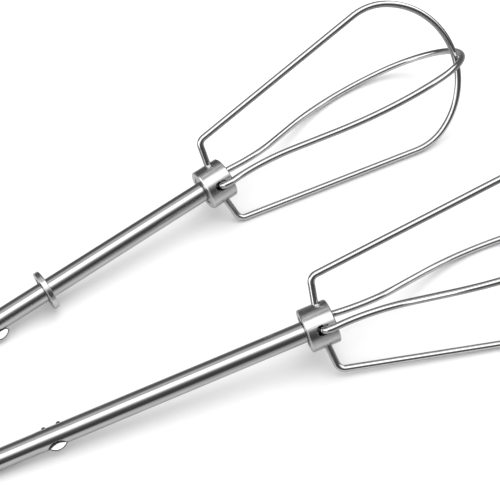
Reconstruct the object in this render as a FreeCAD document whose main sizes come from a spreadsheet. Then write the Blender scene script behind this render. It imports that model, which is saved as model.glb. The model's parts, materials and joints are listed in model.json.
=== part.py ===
"""A pair of hand-mixer beaters lying on a table: one with a collar on its shaft, one plain.

Each beater is a round shaft with a coined ear and two small burrs, a hub pressed on its lower
end, an outer wire loop and an inner wire loop at a right angle to it. Every piece is drawn in the
beater's own frame: +X along the shaft towards the tip, +Y in the plane of the outer loop, +Z in the
plane of the inner loop, with the origin where the wires leave the hub. A placement then lays the
beater on the table.
"""
import FreeCAD
import Part
import Sketcher
import math
import os

Vector = FreeCAD.Vector
Rotation = FreeCAD.Rotation
Placement = FreeCAD.Placement

# Driving dimensions in millimetres and degrees.
SIZES = {
    "shaft_diameter": 6.0,
    "pilot_diameter": 5.88,       # the drive end is a hair thinner, as far as the ears
    "pilot_front": 85.0,          # where the pilot ends and its long shallow cone starts
    "pilot_cone": 0.7,            # length of the cone
    "shaft_back": 104.0,          # drive end, behind the wires
    "shaft_front": 2.3,           # just short of the hub's front face
    "shaft_chamfer": 0.7,
    "ear_back": 82.5,             # the ear's two ends along the shaft
    "ear_front": 76.8,
    "ear_arc": 3.5,               # radius of the lens outline
    "ear_top": 0.55,              # the coined flat, above the shaft's axis
    "ear_under": 0.75,            # underside of the fin, below the axis
    "collared_ear_middle": 3.75,  # middle line of the lens, from the axis
    "plain_ear_middle": 2.55,
    "rear_coin_middle": 2.55,
    "burr_radius": 0.7,
    "burr_reach": 2.75,
    "hub_diameter": 12.6,
    "hub_back": 5.65,
    "hub_front": 2.95,
    "hub_chamfer": 0.35,
    "recess_diameter": 8.8,
    "recess_depth": 0.35,
    "slot_back": 3.1,
    "slot_front": 0.9,
    "slot_width": 3.0,
    "wire_diameter": 2.05,
    "collar_diameter": 12.3,
    "collar_thickness": 1.7,
    "collar_distance": 61.6,      # middle of the collar, behind the wires
    "collar_chamfer": 0.25,
    "collar_recess": 0.25,
}

# Each loop runs from the hub through its corners to the flank's end, then round a shoulder arc
# and a tip arc that is centred on the loop's middle line. Columns: distance along the middle
# line, distance from it, and the radius of the bend there.
OUTER_CORNERS = ((-0.92, 3.35, None), (0.53, 13.81, 2.4), (60.0, 23.68, None))
OUTER_SHOULDER = 17.57
OUTER_TIP_ARC = 24.76
OUTER_TIP = 84.9
INNER_CORNERS = ((-1.2, 3.4, None), (-1.2, 8.9, 2.1), (13.25, 3.81, 25.0), (45.0, 22.57, None))
INNER_SHOULDER = 47.8
INNER_TIP_ARC = 22.6
INNER_TIP = 88.25

# How each beater lies: hub position on the table, heading, pitch, roll about its shaft, the
# small hand-bent leans of its loops, and how far its shaft is turned in the hub.
POSES = {
    "collared": {"x": 0.0, "y": 0.0, "heading": 0.0, "pitch": 5.09, "roll": 54.28,
                 "outer_skew": -0.61, "outer_lean": 5.68, "inner_lean": -3.17, "ear_turn": 13.2},
    "plain": {"x": -6.27, "y": -63.71, "heading": -13.585, "pitch": 5.505, "roll": 49.265,
              "outer_skew": -3.54, "outer_lean": 4.75, "inner_lean": -2.81, "ear_turn": 7.0},
}

doc = FreeCAD.newDocument("EggBeaterPair")
sheet = doc.addObject("Spreadsheet::Sheet", "Sizes")
row = 1


def add_cell(name, value):
    """Put one driving dimension in the sheet and give its cell an alias."""
    global row
    sheet.set("A%d" % row, name)
    sheet.set("B%d" % row, str(value))
    sheet.setAlias("B%d" % row, name)
    row += 1


def add_loop_cells(loop, corners, shoulder, tip_arc, tip):
    """Put a wire loop's corners, bends and arcs in the sheet."""
    for index, (along, away, bend) in enumerate(corners):
        add_cell("%s_along_%s" % (loop, "abcd"[index]), along)
        add_cell("%s_away_%s" % (loop, "abcd"[index]), away)
        if bend is not None:
            add_cell("%s_bend_%s" % (loop, "abcd"[index]), bend)
    add_cell("%s_shoulder" % loop, shoulder)
    add_cell("%s_tip_arc" % loop, tip_arc)
    add_cell("%s_tip" % loop, tip)


for size_name, size_value in SIZES.items():
    add_cell(size_name, size_value)
add_loop_cells("outer", OUTER_CORNERS, OUTER_SHOULDER, OUTER_TIP_ARC, OUTER_TIP)
add_loop_cells("inner", INNER_CORNERS, INNER_SHOULDER, INNER_TIP_ARC, INNER_TIP)
doc.recompute()


def new_body(name):
    """Make an empty body whose label is the piece's name."""
    body = doc.addObject("PartDesign::Body", name)
    body.Label = name
    return body


def plane_of(body, role):
    """Find one of a body's own origin planes."""
    return [part for part in body.Origin.OriginFeatures if part.Role == role][0]


def new_sketch(body, name, role):
    """Start a sketch on one of the body's origin planes."""
    sketch = body.newObject("Sketcher::SketchObject", name)
    sketch.AttachmentSupport = (plane_of(body, role), [""])
    sketch.MapMode = "FlatFace"
    return sketch


def bind(sketch, constraint, expression):
    """Tie a sketch constraint to the sheet."""
    index = sketch.addConstraint(constraint)
    sketch.setExpression("Constraints[%d]" % index, expression)
    return index


def add_circle(sketch, radius, expression):
    """Draw a circle at the sketch's origin with its diameter bound to the sheet."""
    circle = sketch.addGeometry(Part.Circle(Vector(0, 0, 0), Vector(0, 0, 1), radius), False)
    sketch.addConstraint(Sketcher.Constraint("Coincident", circle, 3, -1, 1))
    bind(sketch, Sketcher.Constraint("Diameter", circle, 2 * radius), expression)
    return circle


def add_pad(body, name, sketch, length):
    """Pad a sketch along its normal."""
    pad = body.newObject("PartDesign::Pad", name)
    pad.Profile = sketch
    pad.setExpression("Length", length)
    sketch.Visibility = False
    return pad


def cut_is_real(body, feature, volume_before):
    """A cut must have taken material away."""
    doc.recompute()
    if not feature.Shape.Volume < volume_before - 0.01:
        raise RuntimeError("%s removed nothing from %s" % (feature.Name, body.Label))


def add_lens(sketch, middle_value, middle):
    """Draw an ear's lens outline: two equal arcs between its ends on a line along the shaft."""
    back = -SIZES["ear_back"]
    front = -SIZES["ear_front"]
    radius = SIZES["ear_arc"]
    half = (front - back) / 2
    drop = math.sqrt(radius ** 2 - half ** 2)
    spread = math.asin(half / radius)
    centre_x = (front + back) / 2
    arcs = []
    for side in (1, -1):
        centre = Vector(centre_x, middle_value - side * drop, 0)
        circle = Part.Circle(centre, Vector(0, 0, 1), radius)
        first = side * math.pi / 2 - spread
        arcs.append(sketch.addGeometry(Part.ArcOfCircle(circle, first, first + 2 * spread), False))
    upper, lower = arcs
    sketch.addConstraint(Sketcher.Constraint("Coincident", upper, 2, lower, 1))
    sketch.addConstraint(Sketcher.Constraint("Coincident", upper, 1, lower, 2))
    sketch.addConstraint(Sketcher.Constraint("Equal", upper, lower))
    bind(sketch, Sketcher.Constraint("Radius", upper, radius), "Sizes.ear_arc")
    bind(sketch, Sketcher.Constraint("DistanceX", upper, 2, -1, 1, -back), "Sizes.ear_back")
    bind(sketch, Sketcher.Constraint("DistanceX", upper, 1, -1, 1, -front), "Sizes.ear_front")
    bind(sketch, Sketcher.Constraint("DistanceY", -1, 1, upper, 2, middle_value), middle)
    bind(sketch, Sketcher.Constraint("DistanceY", -1, 1, upper, 1, middle_value), middle)


def add_outline(sketch, corners):
    """Draw a closed outline of straight runs through corners, each tied to the sheet.

    Columns: distance along, height, and the sheet's terms for both. A corner's distance along is
    always tied as a positive number, and a corner without a height term lies on the axis.
    """
    points = [Vector(along, height, 0) for along, height, x_term, y_term in corners]
    runs = [sketch.addGeometry(Part.LineSegment(first, second), False)
            for first, second in zip(points, points[1:] + points[:1])]
    for first, second in zip(runs, runs[1:] + runs[:1]):
        sketch.addConstraint(Sketcher.Constraint("Coincident", first, 2, second, 1))
    for run, (along, height, x_term, y_term) in zip(runs, corners):
        ends = (run, 1, -1, 1) if along < 0 else (-1, 1, run, 1)
        bind(sketch, Sketcher.Constraint("DistanceX", *ends, abs(along)), x_term)
        if y_term is None:
            sketch.addConstraint(Sketcher.Constraint("PointOnObject", run, 1, -1))
        else:
            bind(sketch, Sketcher.Constraint("DistanceY", -1, 1, run, 1, height), y_term)


def make_shaft(beater):
    """A turned rod with a pilot, coined in front into an ear and at the rear into two burrs."""
    body = new_body("%s_shaft" % beater)
    half_outline = new_sketch(body, "%s_shaft_outline" % beater, "XY_Plane")
    back = -SIZES["shaft_back"]
    step = -SIZES["pilot_front"]
    front = SIZES["shaft_front"]
    chamfer = SIZES["shaft_chamfer"]
    pilot = SIZES["pilot_diameter"] / 2
    rod = SIZES["shaft_diameter"] / 2
    corners = [
        (back, 0, "Sizes.shaft_back", None),
        (back, pilot - chamfer, "Sizes.shaft_back", "Sizes.pilot_diameter / 2 - Sizes.shaft_chamfer"),
        (back + chamfer, pilot, "Sizes.shaft_back - Sizes.shaft_chamfer", "Sizes.pilot_diameter / 2"),
        (step, pilot, "Sizes.pilot_front", "Sizes.pilot_diameter / 2"),
        (step + SIZES["pilot_cone"], rod, "Sizes.pilot_front - Sizes.pilot_cone",
         "Sizes.shaft_diameter / 2"),
        (front - chamfer, rod, "Sizes.shaft_front - Sizes.shaft_chamfer", "Sizes.shaft_diameter / 2"),
        (front, rod - chamfer, "Sizes.shaft_front", "Sizes.shaft_diameter / 2 - Sizes.shaft_chamfer"),
        (front, 0, "Sizes.shaft_front", None)]
    add_outline(half_outline, corners)
    turned = body.newObject("PartDesign::Revolution", "%s_rod" % beater)
    turned.Profile = half_outline
    turned.ReferenceAxis = (half_outline, ["H_Axis"])
    turned.Angle = 360
    half_outline.Visibility = False
    doc.recompute()

    middle_name = "%s_ear_middle" % beater
    middle = "Sizes." + middle_name
    fin_outline = new_sketch(body, "%s_ear_outline" % beater, "XY_Plane")
    fin_outline.setExpression(".AttachmentOffset.Base.z", "-Sizes.ear_under")
    add_lens(fin_outline, -SIZES[middle_name], "-" + middle)
    add_pad(body, "%s_ear" % beater, fin_outline, "Sizes.ear_under + Sizes.ear_top")

    burr_outline = new_sketch(body, "%s_burr_outline" % beater, "XY_Plane")
    burr_outline.setExpression(".AttachmentOffset.Base.z", "-Sizes.ear_under")
    radius = SIZES["burr_radius"]
    reach = SIZES["burr_reach"]
    for place, alias in ((SIZES["ear_back"] - radius, "ear_back"),
                         (SIZES["ear_front"] + radius, "ear_front")):
        sign = "-" if alias == "ear_back" else "+"
        centre = Vector(-place, reach, 0)
        circle = burr_outline.addGeometry(Part.Circle(centre, Vector(0, 0, 1), radius), False)
        bind(burr_outline, Sketcher.Constraint("Radius", circle, radius), "Sizes.burr_radius")
        bind(burr_outline, Sketcher.Constraint("DistanceX", circle, 3, -1, 1, place),
             "Sizes.%s %s Sizes.burr_radius" % (alias, sign))
        bind(burr_outline, Sketcher.Constraint("DistanceY", -1, 1, circle, 3, reach),
             "Sizes.burr_reach")
    burrs = add_pad(body, "%s_burrs" % beater, burr_outline, "Sizes.ear_under + Sizes.ear_top")
    doc.recompute()

    volume = burrs.Shape.Volume
    rear_middle = SIZES["rear_coin_middle"]
    for face, level, middle_value, expression, upward in (
            ("front", "Sizes.ear_top", -SIZES[middle_name], "-" + middle, True),
            ("rear", "-Sizes.ear_under", rear_middle, "Sizes.rear_coin_middle", False)):
        outline = new_sketch(body, "%s_%s_coin_outline" % (beater, face), "XY_Plane")
        outline.setExpression(".AttachmentOffset.Base.z", level)
        add_lens(outline, middle_value, expression)
        coin = body.newObject("PartDesign::Pocket", "%s_%s_coined_flat" % (beater, face))
        coin.Profile = outline
        coin.Reversed = upward
        coin.setExpression("Length", "Sizes.shaft_diameter")
        cut_is_real(body, coin, volume)
        volume = coin.Shape.Volume
    return body


def wire_lean(corners):
    """How far a loop's first run leans towards the tip, in degrees from straight out."""
    return math.degrees(math.atan2(corners[1][0] - corners[0][0], corners[1][1] - corners[0][1]))


def make_hub(beater):
    """A chamfered ring with a shallow recess, two round wire holes and two long ones."""
    pose = POSES[beater]
    body = new_body("%s_hub" % beater)
    section = new_sketch(body, "%s_hub_section" % beater, "YZ_Plane")
    section.setExpression(".AttachmentOffset.Base.z", "-Sizes.hub_back")
    add_circle(section, SIZES["hub_diameter"] / 2, "Sizes.hub_diameter")
    blank = add_pad(body, "%s_hub_blank" % beater, section, "Sizes.hub_back + Sizes.hub_front")
    doc.recompute()

    rims = ["Edge%d" % (index + 1) for index, edge in enumerate(blank.Shape.Edges)
            if edge.Curve.TypeId == "Part::GeomCircle"]
    chamfer = body.newObject("PartDesign::Chamfer", "%s_hub_rims" % beater)
    chamfer.Base = (blank, rims)
    chamfer.setExpression("Size", "Sizes.hub_chamfer")
    doc.recompute()

    recess_outline = new_sketch(body, "%s_recess_outline" % beater, "YZ_Plane")
    recess_outline.setExpression(".AttachmentOffset.Base.z", "-Sizes.hub_back")
    add_circle(recess_outline, SIZES["recess_diameter"] / 2, "Sizes.recess_diameter")
    recess = body.newObject("PartDesign::Pocket", "%s_recess" % beater)
    recess.Profile = recess_outline
    recess.Reversed = True
    recess.setExpression("Length", "Sizes.recess_depth")
    cut_is_real(body, recess, chamfer.Shape.Volume)

    bore_outline = new_sketch(body, "%s_bore_outline" % beater, "YZ_Plane")
    add_circle(bore_outline, SIZES["shaft_diameter"] / 2, "Sizes.shaft_diameter")
    bore = body.newObject("PartDesign::Pocket", "%s_bore" % beater)
    bore.Profile = bore_outline
    bore.Type = "ThroughAll"
    bore.Midplane = True
    cut_is_real(body, bore, recess.Shape.Volume)

    last = bore
    for side, lean in (("upper", wire_lean(OUTER_CORNERS)), ("lower", 180 - wire_lean(OUTER_CORNERS))):
        outline = new_sketch(body, "%s_%s_hole_outline" % (beater, side), "XZ_Plane")
        outline.AttachmentOffset = Placement(
            Vector(OUTER_CORNERS[0][0], 0, 0), Rotation(Vector(0, 1, 0), pose["outer_skew"] - lean))
        add_circle(outline, SIZES["wire_diameter"] / 2, "Sizes.wire_diameter")
        hole = body.newObject("PartDesign::Pocket", "%s_%s_wire_hole" % (beater, side))
        hole.Profile = outline
        hole.setExpression("Length", "Sizes.hub_diameter")
        cut_is_real(body, hole, last.Shape.Volume)
        last = hole

    slot_outline = new_sketch(body, "%s_slot_outline" % beater, "XY_Plane")
    radius = SIZES["slot_width"] / 2
    back = -SIZES["slot_back"] + radius
    front = SIZES["slot_front"] - radius
    ends = []
    for centre_x, first in ((back, math.pi / 2), (front, -math.pi / 2)):
        circle = Part.Circle(Vector(centre_x, 0, 0), Vector(0, 0, 1), radius)
        ends.append(slot_outline.addGeometry(Part.ArcOfCircle(circle, first, first + math.pi), False))
    top = slot_outline.addGeometry(
        Part.LineSegment(Vector(front, radius, 0), Vector(back, radius, 0)), False)
    bottom = slot_outline.addGeometry(
        Part.LineSegment(Vector(back, -radius, 0), Vector(front, -radius, 0)), False)
    for first, first_end, second, second_end in (
            (top, 2, ends[0], 1), (ends[0], 2, bottom, 1), (bottom, 2, ends[1], 1),
            (ends[1], 2, top, 1)):
        slot_outline.addConstraint(
            Sketcher.Constraint("Tangent", first, first_end, second, second_end))
    slot_outline.addConstraint(Sketcher.Constraint("PointOnObject", ends[0], 3, -1))
    slot_outline.addConstraint(Sketcher.Constraint("PointOnObject", ends[1], 3, -1))
    bind(slot_outline, Sketcher.Constraint("Radius", ends[0], radius), "Sizes.slot_width / 2")
    bind(slot_outline, Sketcher.Constraint("DistanceX", ends[0], 3, -1, 1, -back),
         "Sizes.slot_back - Sizes.slot_width / 2")
    bind(slot_outline, Sketcher.Constraint("DistanceX", -1, 1, ends[1], 3, front),
         "Sizes.slot_front - Sizes.slot_width / 2")
    slots = body.newObject("PartDesign::Pocket", "%s_slots" % beater)
    slots.Profile = slot_outline
    slots.Type = "ThroughAll"
    slots.Midplane = True
    cut_is_real(body, slots, last.Shape.Volume)
    return body


def bend_geometry(before, corner, after, radius):
    """Where a bend of this radius leaves the two straight runs that meet at a corner."""
    toward_before = (before - corner).normalize()
    toward_after = (after - corner).normalize()
    half = toward_before.getAngle(toward_after) / 2
    reach = radius / math.tan(half)
    middle = (toward_before + toward_after).normalize()
    centre = corner + middle * (radius / math.sin(half))
    return corner + toward_before * reach, corner + toward_after * reach, centre


def arc_between(centre, first, second):
    """The shorter arc from one point to another, and whether it runs counter-clockwise."""
    radius = (first - centre).Length
    circle = Part.Circle(centre, Vector(0, 0, 1), radius)
    start = math.atan2(first.y - centre.y, first.x - centre.x)
    finish = math.atan2(second.y - centre.y, second.x - centre.x)
    turn = (finish - start + math.pi) % (2 * math.pi) - math.pi
    if turn > 0:
        return Part.ArcOfCircle(circle, start, start + turn), True
    return Part.ArcOfCircle(circle, start + turn, start), False


def shoulder_geometry(flank_start, flank_end, shoulder, tip_arc, tip):
    """Where the shoulder arc touches the flank and the tip arc, and its centre."""
    along = (flank_end - flank_start).normalize()
    inward = Vector(along.y, -along.x, 0)
    tip_centre = Vector(tip - tip_arc, 0, 0)
    base = flank_start + inward * shoulder
    offset = base - tip_centre
    b = offset.dot(along)
    c = offset.dot(offset) - (tip_arc - shoulder) ** 2
    root = math.sqrt(b * b - c)
    centre = base + along * (-b + root if tip_arc > shoulder else -b - root)
    toward = (centre - tip_centre) if tip_arc > shoulder else (tip_centre - centre)
    touch = centre + toward.normalize() * shoulder
    return centre - inward * shoulder, touch, centre, tip_centre


def draw_half(sketch, loop, corners, shoulder, tip_arc, tip, side):
    """Draw one half of a loop's middle line, from the hub to where the tip arc starts.

    Returns the shoulder arc, the number of its end at the tip, and that point.
    """
    points = [Vector(along, side * away, 0) for along, away, bend in corners]
    letters = "abcd"
    guides = []
    for first, second in zip(points, points[1:]):
        guides.append(sketch.addGeometry(Part.LineSegment(first, second), True))
    for first, second in zip(guides, guides[1:]):
        sketch.addConstraint(Sketcher.Constraint("Coincident", first, 2, second, 1))
    ends = [(guides[0], 1)] + [(guide, 2) for guide in guides]
    for index, (guide, end) in enumerate(ends):
        along = "%s%s_along_%s" % ("Sizes.", loop, letters[index])
        away = "%s%s_away_%s" % ("Sizes.", loop, letters[index])
        point = points[index]
        bind(sketch, Sketcher.Constraint("DistanceX", -1, 1, guide, end, point.x), along)
        bind(sketch, Sketcher.Constraint("DistanceY", -1, 1, guide, end, point.y),
             away if side > 0 else "-" + away)

    flat = [Vector(along, away, 0) for along, away, bend in corners]
    flank_end, touch, centre, tip_centre = shoulder_geometry(
        flat[-2], flat[-1], shoulder, tip_arc, tip)
    mirrored = [Vector(p.x, side * p.y, 0) for p in (flank_end, touch, centre)]
    flank_end, touch, centre = mirrored

    start = points[0]
    previous = None
    for index in range(1, len(points) - 1):
        bend = corners[index][2]
        leave, arrive, bend_centre = bend_geometry(
            points[index - 1], points[index], points[index + 1], bend)
        line = sketch.addGeometry(Part.LineSegment(start, leave), False)
        connect_line(sketch, line, guides[index - 1], previous)
        curve, forward = arc_between(bend_centre, leave, arrive)
        arc = sketch.addGeometry(curve, False)
        near, far = (1, 2) if forward else (2, 1)
        sketch.addConstraint(Sketcher.Constraint("Tangent", line, 2, arc, near))
        bind(sketch, Sketcher.Constraint("Radius", arc, bend),
             "Sizes.%s_bend_%s" % (loop, letters[index]))
        previous = (arc, far)
        start = arrive
    line = sketch.addGeometry(Part.LineSegment(start, flank_end), False)
    connect_line(sketch, line, guides[-1], previous)
    curve, forward = arc_between(centre, flank_end, touch)
    arc = sketch.addGeometry(curve, False)
    near, far = (1, 2) if forward else (2, 1)
    sketch.addConstraint(Sketcher.Constraint("Tangent", line, 2, arc, near))
    bind(sketch, Sketcher.Constraint("Radius", arc, shoulder), "Sizes.%s_shoulder" % loop)
    return arc, far, touch, tip_centre


def connect_line(sketch, line, guide, previous):
    """Lay a straight run on its guide, starting at the hub or tangent to the bend before it."""
    if previous is None:
        sketch.addConstraint(Sketcher.Constraint("Coincident", line, 1, guide, 1))
    else:
        sketch.addConstraint(Sketcher.Constraint("PointOnObject", line, 1, guide))
        sketch.addConstraint(Sketcher.Constraint("Tangent", previous[0], previous[1], line, 1))
    sketch.addConstraint(Sketcher.Constraint("PointOnObject", line, 2, guide))


def make_loop(beater, loop, corners, shoulder, tip_arc, tip):
    """Bend a round wire along the loop's middle line, both ends in the hub."""
    body = new_body("%s_%s_loop" % (beater, loop))
    spine = new_sketch(body, "%s_%s_spine" % (beater, loop), "XY_Plane")
    arc_a, end_a, touch_a, tip_centre = draw_half(
        spine, loop, corners, shoulder, tip_arc, tip, 1)
    arc_b, end_b, touch_b, tip_centre = draw_half(
        spine, loop, corners, shoulder, tip_arc, tip, -1)
    circle = Part.Circle(tip_centre, Vector(0, 0, 1), tip_arc)
    low = math.atan2(touch_b.y, touch_b.x - tip_centre.x)
    high = math.atan2(touch_a.y, touch_a.x - tip_centre.x)
    end = spine.addGeometry(Part.ArcOfCircle(circle, low, high), False)
    spine.addConstraint(Sketcher.Constraint("Tangent", arc_a, end_a, end, 2))
    spine.addConstraint(Sketcher.Constraint("Tangent", arc_b, end_b, end, 1))
    bind(spine, Sketcher.Constraint("Radius", end, tip_arc), "Sizes.%s_tip_arc" % loop)
    bind(spine, Sketcher.Constraint("DistanceX", -1, 1, end, 3, tip - tip_arc),
         "Sizes.%s_tip - Sizes.%s_tip_arc" % (loop, loop))

    section = new_sketch(body, "%s_%s_wire" % (beater, loop), "XZ_Plane")
    section.AttachmentOffset = Placement(
        Vector(corners[0][0], 0, -corners[0][1]), Rotation(Vector(0, 1, 0), -wire_lean(corners)))
    add_circle(section, SIZES["wire_diameter"] / 2, "Sizes.wire_diameter")
    pipe = body.newObject("PartDesign::AdditivePipe", "%s_%s_pipe" % (beater, loop))
    pipe.Profile = section
    pipe.Spine = (spine, [])
    pipe.Mode = "Standard"
    doc.recompute()
    wire_area = math.pi * (SIZES["wire_diameter"] / 2) ** 2
    swept = pipe.Shape.Volume / (wire_area * spine.Shape.Length)
    print("%s: wire length %.1f mm, volume ratio %.4f" % (body.Label, spine.Shape.Length, swept))
    return body


def make_collar():
    """A thin ring pressed on the shaft, chamfered outside and slightly dished round the shaft."""
    body = new_body("collar_ring")
    section = new_sketch(body, "collar_section", "YZ_Plane")
    section.setExpression(
        ".AttachmentOffset.Base.z", "-Sizes.collar_distance - Sizes.collar_thickness / 2")
    add_circle(section, SIZES["collar_diameter"] / 2, "Sizes.collar_diameter")
    blank = add_pad(body, "collar_blank", section, "Sizes.collar_thickness")
    doc.recompute()
    rims = ["Edge%d" % (index + 1) for index, edge in enumerate(blank.Shape.Edges)
            if edge.Curve.TypeId == "Part::GeomCircle"]
    chamfer = body.newObject("PartDesign::Chamfer", "collar_rims")
    chamfer.Base = (blank, rims)
    chamfer.setExpression("Size", "Sizes.collar_chamfer")
    doc.recompute()
    dish_outline = new_sketch(body, "collar_dish_outline", "YZ_Plane")
    dish_outline.setExpression(
        ".AttachmentOffset.Base.z", "-Sizes.collar_distance - Sizes.collar_thickness / 2")
    add_circle(dish_outline, SIZES["recess_diameter"] / 2, "Sizes.recess_diameter")
    dish = body.newObject("PartDesign::Pocket", "collar_dish")
    dish.Profile = dish_outline
    dish.Reversed = True
    dish.setExpression("Length", "Sizes.collar_recess")
    cut_is_real(body, dish, chamfer.Shape.Volume)
    bore_outline = new_sketch(body, "collar_bore_outline", "YZ_Plane")
    add_circle(bore_outline, SIZES["shaft_diameter"] / 2, "Sizes.shaft_diameter")
    bore = body.newObject("PartDesign::Pocket", "collar_bore")
    bore.Profile = bore_outline
    bore.Type = "ThroughAll"
    bore.Midplane = True
    cut_is_real(body, bore, dish.Shape.Volume)
    return body


def turn_about(axis, degrees):
    """A rotation about an axis through the origin."""
    return Placement(Vector(0, 0, 0), Rotation(axis, degrees))


X_AXIS = Vector(1, 0, 0)
Y_AXIS = Vector(0, 1, 0)
Z_AXIS = Vector(0, 0, 1)

beaters = {}
for beater, pose in POSES.items():
    lie = Placement(Vector(pose["x"], pose["y"], 0), Rotation())
    lie = lie * turn_about(Z_AXIS, pose["heading"])
    lie = lie * turn_about(Y_AXIS, -pose["pitch"])
    lie = lie * turn_about(X_AXIS, pose["roll"])
    shaft = make_shaft(beater)
    hub = make_hub(beater)
    outer = make_loop(beater, "outer", OUTER_CORNERS, OUTER_SHOULDER, OUTER_TIP_ARC, OUTER_TIP)
    inner = make_loop(beater, "inner", INNER_CORNERS, INNER_SHOULDER, INNER_TIP_ARC, INNER_TIP)
    # The ear's flat faces along +Z of the shaft's own frame, turned a little about the shaft.
    shaft.Placement = lie * turn_about(X_AXIS, -pose["ear_turn"])
    hub.Placement = lie
    outer.Placement = lie * turn_about(Z_AXIS, pose["outer_skew"]) * turn_about(
        Y_AXIS, -pose["outer_lean"])
    inner.Placement = lie * turn_about(Z_AXIS, pose["inner_lean"]) * turn_about(X_AXIS, 90)
    beaters[beater] = [shaft, hub, outer, inner]

collar = make_collar()
collar.Placement = beaters["collared"][1].Placement
beaters["collared"].append(collar)
doc.recompute()

# Stand each beater on the table, then centre the pair on the origin.
for pieces in beaters.values():
    lows = [piece.Shape.optimalBoundingBox(False).ZMin for piece in pieces]
    print("lowest points:", ["%s %.3f" % (p.Label, low) for p, low in zip(pieces, lows)])
    for piece in pieces:
        piece.Placement = Placement(Vector(0, 0, -min(lows)), Rotation()) * piece.Placement
doc.recompute()
nodes = [piece for pieces in beaters.values() for piece in pieces]
box = FreeCAD.BoundBox()
for node in nodes:
    box.add(node.Shape.optimalBoundingBox(False))
shift = Placement(Vector(-box.Center.x, -box.Center.y, -box.ZMin), Rotation())
for node in nodes:
    node.Placement = shift * node.Placement
doc.recompute()

for item in doc.Objects:
    if "Invalid" in item.State or "Error" in item.State:
        raise RuntimeError("%s failed: %s" % (item.Name, item.State))
os.makedirs("parts", exist_ok=True)
for node in nodes:
    shape = node.Shape
    if shape.isNull() or not shape.isValid() or len(shape.Solids) != 1:
        raise RuntimeError("%s has no sound solid" % node.Label)
    shape.exportStep("parts/%s.step" % node.Label)
    print("%-22s %8.1f mm3" % (node.Label, shape.Volume))
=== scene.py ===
"""Looks for a pair of hand-mixer beaters lying on a pale table."""
import json
import math

import bpy
from mathutils import Matrix, Vector

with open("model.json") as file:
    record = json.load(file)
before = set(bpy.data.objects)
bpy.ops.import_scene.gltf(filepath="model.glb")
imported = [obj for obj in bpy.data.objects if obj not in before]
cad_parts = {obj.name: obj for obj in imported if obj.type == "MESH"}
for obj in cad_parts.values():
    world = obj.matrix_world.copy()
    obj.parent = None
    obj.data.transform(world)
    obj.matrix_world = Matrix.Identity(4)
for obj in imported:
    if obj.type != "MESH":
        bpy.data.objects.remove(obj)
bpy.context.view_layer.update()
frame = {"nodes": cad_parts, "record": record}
scene = bpy.context.scene

MM = 0.001

# ---------------------------------------------------------------- camera

CAMERA_TARGET = Vector((6.44, 22.66, 0.0)) * MM   # where the lens axis meets the table
CAMERA_DISTANCE = 423.64 * MM
CAMERA_HEADING = -27.22        # degrees, from +Y
CAMERA_ELEVATION = 50.18
CAMERA_ROLL = -8.35
CAMERA_LENS = 100.8            # on a 36 mm sensor


def make_camera():
    """Look down on the pair from the near side, a little rolled."""
    data = bpy.data.cameras.new("camera")
    data.lens = CAMERA_LENS
    data.sensor_width = 36.0
    data.clip_start = 0.01
    data.clip_end = 50.0
    camera = bpy.data.objects.new("camera", data)
    turn = (Matrix.Rotation(math.radians(CAMERA_HEADING), 4, "Z")
            @ Matrix.Rotation(math.radians(90 - CAMERA_ELEVATION), 4, "X")
            @ Matrix.Rotation(math.radians(CAMERA_ROLL), 4, "Z"))
    back = Matrix.Translation((0, 0, CAMERA_DISTANCE))
    camera.matrix_world = Matrix.Translation(CAMERA_TARGET) @ turn @ back
    scene.collection.objects.link(camera)
    scene.camera = camera


# ---------------------------------------------------------------- node helpers

def new_material(name):
    """A node material: its tree, and its Principled shader."""
    material = bpy.data.materials.new(name)
    material.use_nodes = True
    tree = material.node_tree
    return material, tree, tree.nodes["Principled BSDF"]


def feed(tree, socket, value):
    """Give an input socket another node's output, or a plain number."""
    if isinstance(value, bpy.types.NodeSocket):
        tree.links.new(value, socket)
    elif socket.type == "RGBA":
        socket.default_value = (value, value, value, 1)
    else:
        socket.default_value = value


def math_node(tree, operation, *values):
    """A Math node fed by sockets or plain numbers; returns its output."""
    node = tree.nodes.new("ShaderNodeMath")
    node.operation = operation
    for index, value in enumerate(values):
        feed(tree, node.inputs[index], value)
    return node.outputs[0]


def dot_node(tree, vector, direction):
    """How far a vector points along a fixed direction."""
    node = tree.nodes.new("ShaderNodeVectorMath")
    node.operation = "DOT_PRODUCT"
    node.inputs[1].default_value = direction
    tree.links.new(vector, node.inputs[0])
    return node.outputs["Value"]


def fade_node(tree, value, first, last):
    """A smooth fade from 0 at one value to 1 at another, in either direction."""
    node = tree.nodes.new("ShaderNodeMapRange")
    node.interpolation_type = "SMOOTHSTEP"
    low, high = min(first, last), max(first, last)
    node.inputs["From Min"].default_value = low
    node.inputs["From Max"].default_value = high
    node.inputs["To Min"].default_value = 0.0 if first < last else 1.0
    node.inputs["To Max"].default_value = 1.0 if first < last else 0.0
    tree.links.new(value, node.inputs["Value"])
    return node.outputs["Result"]


def mix_node(tree, factor, first, second):
    """A blend of two greys."""
    node = tree.nodes.new("ShaderNodeMix")
    node.data_type = "RGBA"
    feed(tree, node.inputs[0], factor)
    feed(tree, node.inputs[6], first)
    feed(tree, node.inputs[7], second)
    return node.outputs[2]


def ramp_node(tree, factor, stops, interpolation="EASE"):
    """A colour ramp over grey stops: (place, grey)."""
    node = tree.nodes.new("ShaderNodeValToRGB")
    node.color_ramp.interpolation = interpolation
    elements = node.color_ramp.elements
    while len(elements) < len(stops):
        elements.new(0.5)
    for element, (place, grey) in zip(elements, stops):
        element.position = place
        element.color = (grey, grey, grey, 1)
    tree.links.new(factor, node.inputs["Fac"])
    return node.outputs["Color"]


# ---------------------------------------------------------------- studio

ALONG = Vector((0.992, -0.120, 0.0))        # along the shafts, towards the tips
NEAR_SIDE = Vector((-0.120, -0.992, 0.0))   # across them, towards the viewer's side
STUDIO_PEAK = 2.6              # its brightest radiance
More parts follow.
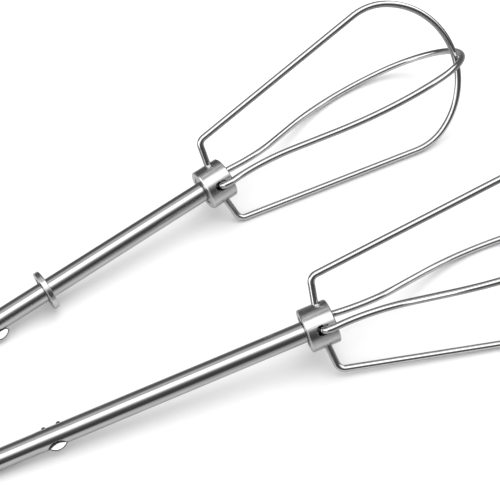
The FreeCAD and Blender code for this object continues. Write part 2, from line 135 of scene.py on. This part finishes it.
# Brightness of the studio by tilt from straight up, across the shafts: negative tilts lean to
# the far side. A strip light overhead, grey cloth beyond it, black cloth on the near side.
STUDIO_TILTS = (
    (-100, 0.12), (-79, 0.13), (-60, 0.17), (-51, 0.26), (-44, 0.48), (-36, 0.74), (-22, 0.84),
    (-20, 0.50), (-17, 0.45), (-15.5, 0.92), (-9, 1.38), (-4, 2.6), (20, 2.6), (27, 1.54),
    (33, 1.15), (39, 0.66), (44, 0.34), (49, 0.20), (56, 0.13), (65, 0.09), (80, 0.08),
    (89, 0.10))
# Along the shafts: a bright panel stands past either end, and its foot is dark. Each row says how
# far along the panel's edge begins and ends, and the heights between which its foot brightens.
END_PANELS = (
    (-0.75, -0.86, 0.02, 0.12),    # past the drive ends
    (0.62, 0.76, 0.25, 0.45))      # past the tips
PANEL_RADIANCE = 2.2
FOOT_RADIANCE = 0.15
TENT_RADIANCE = 1.05           # the even light of the tent on the table
KEY_SIZE = 0.9                 # metres
KEY_PLACE = (0.3, 0.05, 1.0)
KEY_RADIANCE = 2.22
FLOOR_HALF_WIDTH = 6.0         # metres
FLOOR_GREY, FAR_FLOOR_GREY = 0.86, 0.97
FLOOR_PALES = (0.25, 1.2)      # metres from the pair between which the floor is painted paler, standing in for the key light that falls off
# Painted shade on the floor as steel mirrors it: its grey, darker with distance from the steel, as a
# part of MIRRORED_REACH.
MIRRORED_REACH = 0.25
MIRRORED_FLOOR = ((0.04, 0.66), (0.14, 0.36), (0.4, 0.16), (0.8, 0.11))


def make_world():
    """A studio that steel mirrors, inside a tent that lights the table evenly."""
    world = bpy.data.worlds.new("studio")
    scene.world = world
    world.use_nodes = True
    tree = world.node_tree
    background = tree.nodes["Background"]
    where = tree.nodes.new("ShaderNodeTexCoord").outputs["Generated"]
    across = dot_node(tree, where, NEAR_SIDE)
    along = dot_node(tree, where, ALONG)
    height = dot_node(tree, where, Vector((0, 0, 1)))
    tilt = math_node(tree, "ARCTAN2", across, height)
    place = math_node(tree, "MULTIPLY_ADD", tilt, 1 / (2 * math.pi), 0.5)
    stops = [(0.5 + degrees / 360, level / STUDIO_PEAK) for degrees, level in STUDIO_TILTS]
    mirrored = ramp_node(tree, place, stops, "LINEAR")
    for start, finish, foot, clear in END_PANELS:
        panel = mix_node(tree, fade_node(tree, height, foot, clear),
                         FOOT_RADIANCE / STUDIO_PEAK, PANEL_RADIANCE / STUDIO_PEAK)
        mirrored = mix_node(tree, fade_node(tree, along, start, finish), mirrored, panel)
    tree.links.new(mirrored, background.inputs["Color"])
    background.inputs["Strength"].default_value = STUDIO_PEAK
    even = tree.nodes.new("ShaderNodeBackground")
    even.inputs["Color"].default_value = (1, 1, 1, 1)
    even.inputs["Strength"].default_value = TENT_RADIANCE
    rays = tree.nodes.new("ShaderNodeLightPath")
    mix = tree.nodes.new("ShaderNodeMixShader")
    tree.links.new(rays.outputs["Is Glossy Ray"], mix.inputs["Fac"])
    tree.links.new(even.outputs[0], mix.inputs[1])
    tree.links.new(background.outputs[0], mix.inputs[2])
    tree.links.new(mix.outputs[0], tree.nodes["World Output"].inputs["Surface"])
    world.cycles.sampling_method = "NONE"


def add_light(name, size, place, aim, radiance):
    """A square area light of even radiance that lights the table but isn't mirrored in the steel."""
    data = bpy.data.lights.new(name, "AREA")
    data.shape = "SQUARE"
    data.size = size
    data.energy = radiance * math.pi * size * size
    light = bpy.data.objects.new(name, data)
    light.location = place
    light.rotation_mode = "QUATERNION"
    light.rotation_quaternion = (Vector(aim) - Vector(place)).to_track_quat("-Z", "Y")
    light.visible_glossy = False
    light.visible_camera = False
    scene.collection.objects.link(light)


def make_lights():
    """A broad soft key overhead, a little past the tips."""
    add_light("key", KEY_SIZE, KEY_PLACE, (0, 0, 0), KEY_RADIANCE)


def make_floor():
    """A wide matt sheet, painted paler far off where the key light falls off, and with painted shade
    where steel mirrors it.
    """
    half = FLOOR_HALF_WIDTH
    corners = [(-half, -half, 0), (half, -half, 0), (half, half, 0), (-half, half, 0)]
    mesh = bpy.data.meshes.new("floor")
    mesh.from_pydata(corners, [], [(0, 1, 2, 3)])
    floor = bpy.data.objects.new("floor", mesh)
    scene.collection.objects.link(floor)
    material, tree, shader = new_material("floor_paper")
    # Glossy rays see the floor with painted shade that darkens with their length.
    rays = tree.nodes.new("ShaderNodeLightPath")
    distance = math_node(tree, "DIVIDE", rays.outputs["Ray Length"], MIRRORED_REACH)
    shade = ramp_node(tree, distance, MIRRORED_FLOOR)
    span = tree.nodes.new("ShaderNodeVectorMath")
    span.operation = "LENGTH"
    tree.links.new(tree.nodes.new("ShaderNodeTexCoord").outputs["Object"], span.inputs[0])
    # Painted brightness far off, making up for the key light that falls off there.
    pale = mix_node(tree, fade_node(tree, span.outputs["Value"], *FLOOR_PALES),
                    FLOOR_GREY, FAR_FLOOR_GREY)
    paper = mix_node(tree, rays.outputs["Is Glossy Ray"], pale, shade)
    tree.links.new(paper, shader.inputs["Base Color"])
    shader.inputs["Roughness"].default_value = 0.35
    shader.inputs["Specular IOR Level"].default_value = 0.0
    mesh.materials.append(material)


# ---------------------------------------------------------------- materials

EAR_LEAN = 41.7                # degrees an ear's flat leans to the near side
EAR_DISH = 25.0                # degrees the dished part of it leans
EAR_BACK, EAR_FRONT, EAR_ARC = 82.5, 76.8, 3.5      # the lens outline, in mm from the hub
EAR_MIDDLES = {"collared": 3.75, "plain": 2.55}     # its middle line, from the shaft's axis
# Where marks begin and end, in mm: the painted dark rim inside an ear's outline, an ear's root
# out from the axis, its end along the shaft, and a burr's painted shade out from the axis on the
# other side.
EAR_RIM = (0.34, 0.2)
EAR_ROOT = (1.2 * MM, 1.4 * MM)
EAR_END = (-76.0 * MM, -76.5 * MM)
BURR_ROOT = (-3.02 * MM, -3.1 * MM)
HUB_TO_MOUNT = 94.15 * MM      # from the middle of a drive end's mount to where the wires leave
EDGE_TINT = 0.72               # steel seen at a grazing angle
# The satin end faces: a paler tone, which is painted brightness, and a real duller roughness.
SATIN_PAINTED_SHEEN_TONE, SATIN_ROUGHNESS = 0.9, 0.3
# The second is the grey of the painted shade on an ear's rim and on the burrs.
SHAFT_TONES, PAINTED_SHADE_TONE = (0.50, 0.60), 0.12
HUB_TONES = (0.46, 0.70)
COLLAR_TONES = (0.56, 0.68)
WIRE_TONES = (0.58, 0.66)


def beater_place(tree, beater):
    """Coordinates in a beater's own frame: +X along its shaft to the tip, origin at the hub.

    Returns them, how squarely the surface faces along the shaft, and the beater's turn.
    """
    mount = [row for row in frame["record"]["mounts"] if row["name"] == beater + "_drive_end"][0]
    along = -Vector(mount["axis"])
    origin = Vector(mount["pos_m"]) + along * HUB_TO_MOUNT
    turn = along.to_track_quat("X", "Z")
    mapping = tree.nodes.new("ShaderNodeMapping")
    mapping.vector_type = "TEXTURE"
    mapping.inputs["Location"].default_value = origin
    mapping.inputs["Rotation"].default_value = turn.to_euler()
    where = tree.nodes.new("ShaderNodeTexCoord")
    tree.links.new(where.outputs["Object"], mapping.inputs["Vector"])
    split = tree.nodes.new("ShaderNodeSeparateXYZ")
    tree.links.new(mapping.outputs["Vector"], split.inputs[0])
    normal = tree.nodes.new("ShaderNodeNewGeometry").outputs["True Normal"]
    facing = math_node(tree, "ABSOLUTE", dot_node(tree, normal, along))
    return split.outputs[0], split.outputs[1], split.outputs[2], facing, turn


def streaks(tree, along, left, up, squash, scale):
    """Fine lines that run along the shaft, as grey from 0 to 1."""
    combine = tree.nodes.new("ShaderNodeCombineXYZ")
    tree.links.new(math_node(tree, "MULTIPLY", along, squash), combine.inputs[0])
    tree.links.new(left, combine.inputs[1])
    tree.links.new(up, combine.inputs[2])
    return noise_node(tree, combine.outputs[0], scale, detail=4.0)


def noise_node(tree, vector, scale, detail=3.0):
    """Smooth noise, stretched to use most of the range from 0 to 1."""
    noise = tree.nodes.new("ShaderNodeTexNoise")
    noise.inputs["Scale"].default_value = scale
    noise.inputs["Detail"].default_value = detail
    noise.inputs["Roughness"].default_value = 0.6
    tree.links.new(vector, noise.inputs["Vector"])
    return fade_node(tree, noise.outputs["Fac"], 0.3, 0.7)


def finish_steel(tree, shader, lines, grain, tones, roughness, relief, bevel, satin_and_painted_sheen=0.0):
    """Let fine lines and grain drive the steel's tone, roughness and relief, with soft edges.

    The relief and the bevel are in mm. A satin patch, where there is one, is duller than the
    polished rest, and paler by painted brightness. Returns the normal that the shader gets.
    """
    tone = mix_node(tree, lines, tones[0], tones[1])
    # Painted brightness: the satin patch gets a paler tone.
    tone = mix_node(tree, satin_and_painted_sheen, tone, mix_node(tree, lines, SATIN_PAINTED_SHEEN_TONE * 0.85, SATIN_PAINTED_SHEEN_TONE))
    grain_tone = mix_node(tree, grain, 0.93, 1.0)
    tree.links.new(math_node(tree, "MULTIPLY", tone, grain_tone), shader.inputs["Base Color"])
    dull = mix_node(tree, lines, roughness[0], roughness[1])
    tree.links.new(mix_node(tree, satin_and_painted_sheen, dull, SATIN_ROUGHNESS), shader.inputs["Roughness"])
    shader.inputs["Metallic"].default_value = 1.0
    shader.inputs["Specular Tint"].default_value = (EDGE_TINT, EDGE_TINT, EDGE_TINT, 1)
    bump = tree.nodes.new("ShaderNodeBump")
    bump.inputs["Strength"].default_value = 1.0
    bump.inputs["Distance"].default_value = relief * MM
    tree.links.new(lines, bump.inputs["Height"])
    if bevel:
        soft = tree.nodes.new("ShaderNodeBevel")
        soft.samples = 6
        soft.inputs["Radius"].default_value = bevel * MM
        tree.links.new(soft.outputs["Normal"], bump.inputs["Normal"])
    tree.links.new(bump.outputs["Normal"], shader.inputs["Normal"])
    return bump.outputs["Normal"]


def lens_edge(tree, along, reach, middle):
    """0 inside an ear's lens outline and 1 along its edge, where a painted dark rim of shade goes.
    """
    half = (EAR_BACK - EAR_FRONT) / 2
    drop = math.sqrt(EAR_ARC ** 2 - half ** 2)
    x = math_node(tree, "ADD", along, (EAR_BACK + EAR_FRONT) / 2 * MM)
    x_square = math_node(tree, "MULTIPLY", x, x)
    spans = []
    for side in (1, -1):
        y = math_node(tree, "SUBTRACT", reach, (middle + side * drop) * MM)
        spans.append(math_node(tree, "SQRT", math_node(tree, "MULTIPLY_ADD", y, y, x_square)))
    span = math_node(tree, "MAXIMUM", *spans)
    return fade_node(tree, span, *((EAR_ARC - depth) * MM for depth in EAR_RIM))


def make_shaft_steel(beater):
    """Drawn and polished rod: fine lines along it, a bright ear, and painted shade on the ear's rim
    and the burrs.
    """
    material, tree, shader = new_material(beater + "_shaft_steel")
    along, left, up, _, turn = beater_place(tree, beater)
    lines = streaks(tree, along, left, up, squash=0.02, scale=3200)
    grain = streaks(tree, along, left, up, squash=0.3, scale=900)
    # The ear's shading normal is dished to catch the light, inside a painted dark rim of shade; the
    # burrs opposite get painted shade too.
    lean = math.radians(EAR_LEAN)
    dish = math.radians(EAR_DISH)
    flat = turn @ Vector((0, -math.sin(lean), math.cos(lean)))
    normal = tree.nodes.new("ShaderNodeNewGeometry").outputs["True Normal"]
    reach = math_node(tree, "MULTIPLY_ADD", left, -math.cos(lean),
                      math_node(tree, "MULTIPLY", up, -math.sin(lean)))
    ear = math_node(tree, "MULTIPLY", fade_node(tree, dot_node(tree, normal, flat), 0.97, 0.99),
                    fade_node(tree, reach, *EAR_ROOT))
    ear = math_node(tree, "MULTIPLY", ear, fade_node(tree, along, *EAR_END))
    # Painted shade: a dark rim round the ear's lens, and dark burrs.
    rim = math_node(tree, "MULTIPLY", ear, lens_edge(tree, along, reach, EAR_MIDDLES[beater]))
    painted_burr_shade = fade_node(tree, reach, *BURR_ROOT)
    painted_shade = math_node(tree, "MAXIMUM", rim, painted_burr_shade)
    tones = [mix_node(tree, painted_shade, tone, PAINTED_SHADE_TONE) for tone in SHAFT_TONES]
    normal = finish_steel(tree, shader, lines, grain, tones, roughness=(0.15, 0.08),
                          relief=0.0012, bevel=0.12)
    tilt = tree.nodes.new("ShaderNodeMix")
    tilt.data_type = "VECTOR"
    feed(tree, tilt.inputs[0], math_node(tree, "SUBTRACT", ear, rim))
    feed(tree, tilt.inputs[4], normal)
    tilt.inputs[5].default_value = turn @ Vector((0, -math.sin(dish), math.cos(dish)))
    tree.links.new(tilt.outputs[1], shader.inputs["Normal"])
    return material


def make_turned_steel(name, beater, tones):
    """Turned steel: lines along the rim, rings on the end faces, which are satin and painted paler.
    """
    material, tree, shader = new_material(name)
    along, left, up, facing, _ = beater_place(tree, beater)
    square = math_node(tree, "MULTIPLY", left, left)
    away = math_node(tree, "SQRT", math_node(tree, "MULTIPLY_ADD", up, up, square))
    combine = tree.nodes.new("ShaderNodeCombineXYZ")
    tree.links.new(away, combine.inputs[0])
    rings = noise_node(tree, combine.outputs[0], scale=4200, detail=2.0)
    rim = streaks(tree, along, left, up, squash=0.06, scale=2600)
    face = fade_node(tree, facing, 0.6, 0.8)
    lines = mix_node(tree, face, rim, rings)
    grain = streaks(tree, along, left, up, squash=0.6, scale=1100)
    finish_steel(tree, shader, lines, grain, tones, roughness=(0.22, 0.11), relief=0.003,
                 bevel=0.2, satin_and_painted_sheen=face)
    return material


def make_wire_steel(beater):
    """Bright drawn wire with a faint mottle."""
    material, tree, shader = new_material(beater + "_wire_steel")
    where = tree.nodes.new("ShaderNodeTexCoord").outputs["Object"]
    lines = noise_node(tree, where, scale=1500)
    grain = noise_node(tree, where, scale=260)
    finish_steel(tree, shader, lines, grain, WIRE_TONES, roughness=(0.15, 0.10), relief=0.0006,
                 bevel=0)
    return material


scene.view_settings.view_transform = "Standard"
make_camera()
make_world()
make_lights()
make_floor()
steels = {}
for beater in ("collared", "plain"):
    steels[beater, "shaft"] = make_shaft_steel(beater)
    steels[beater, "hub"] = make_turned_steel(beater + "_hub_steel", beater, HUB_TONES)
    steels[beater, "wire"] = make_wire_steel(beater)
steels["collared", "collar"] = make_turned_steel("collar_steel", "collared", COLLAR_TONES)
slot_of = {row["node"]: row["material_slot"] for row in frame["record"]["subparts"]}
for node_name, node in frame["nodes"].items():
    beater = "plain" if node_name.startswith("plain") else "collared"
    for material_slot in node.material_slots:
        material_slot.material = steels[beater, slot_of[node_name]]
